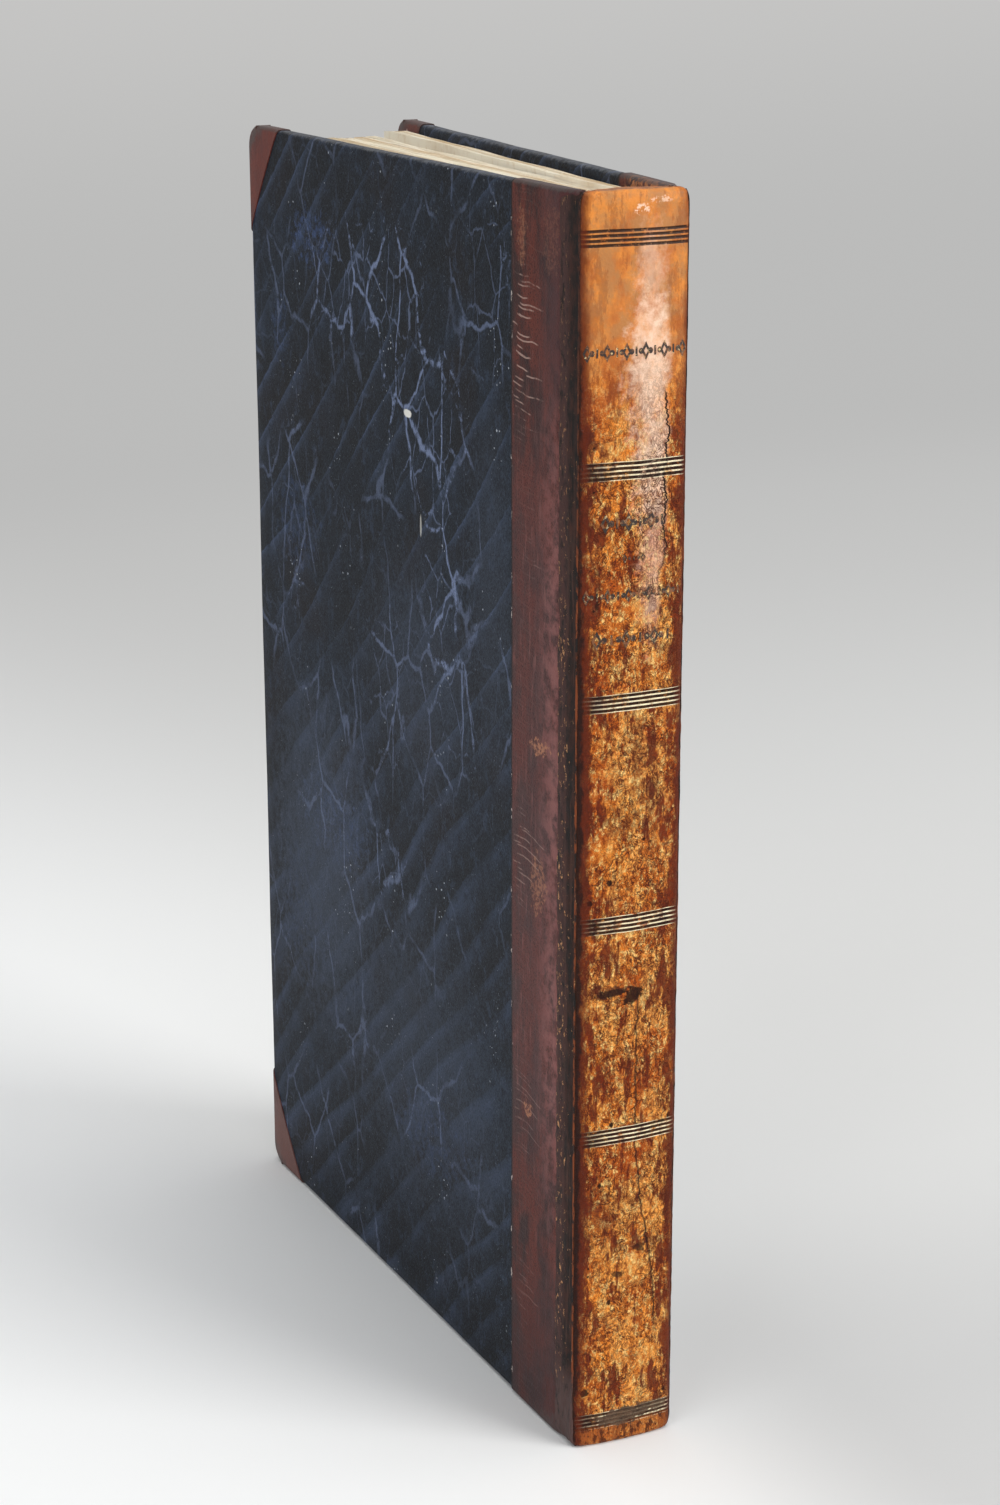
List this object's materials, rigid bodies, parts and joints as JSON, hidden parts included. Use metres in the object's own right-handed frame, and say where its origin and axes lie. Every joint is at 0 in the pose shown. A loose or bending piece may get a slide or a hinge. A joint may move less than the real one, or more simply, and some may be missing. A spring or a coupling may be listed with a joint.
{
  "type": "antique half-leather book",
  "caption": "Old octavo book standing on its tail: tan calf spine with tooled lines, brown leather corners, dark marbled paper sides, leaves fanned at the fore-edge.",
  "frame": {"origin": "middle of the footprint, at the height of the tail edges of the covers", "axes": "+Z from tail to head, -Y towards the spine, +X towards the front cover"},
  "size_m": [0.0352, 0.141, 0.225],
  "materials": {
    "leaves": "aged, uneven edges",
    "endpaper": "aged, matt",
    "marbled_paper": "marbled, burnished",
    "tan_calf": "polished, cracked",
    "brown_calf": "worn, satin",
    "millboard": "raw board",
    "card": "raw card",
    "lining": "pasted",
    "cord": "hemp"
  },
  "bodies": {
    "book_block": {"sewing_cord_1": "cord", "sewing_cord_2": "cord", "sewing_cord_3": "cord", "sewing_cord_4": "cord", "spine_card": "card", "spine_leather": "tan_calf", "spine_lining": "lining", "text_block": "leaves"},
    "front_cover": {"front_board": "millboard", "front_cord_slips": "cord", "front_joint_leather": "brown_calf", "front_head_corner": "brown_calf", "front_tail_corner": "brown_calf", "front_marbled_paper": "marbled_paper", "front_pastedown": "endpaper"},
    "back_cover": {"back_board": "millboard", "back_cord_slips": "cord", "back_joint_leather": "brown_calf", "back_head_corner": "brown_calf", "back_tail_corner": "brown_calf", "back_marbled_paper": "marbled_paper", "back_pastedown": "endpaper"}
  },
  "joints": [
    {"name": "front_cover_hinge", "type": "hinge", "parent": "book_block", "child": "front_cover", "pos_m": [0.0103, -0.06846, 0], "axis": [0, 0, -1], "range_deg": [0, 177]},
    {"name": "back_cover_hinge", "type": "hinge", "parent": "book_block", "child": "back_cover", "pos_m": [-0.0103, -0.06846, 0], "axis": [0, 0, 1], "range_deg": [0, 177]}
  ]
}
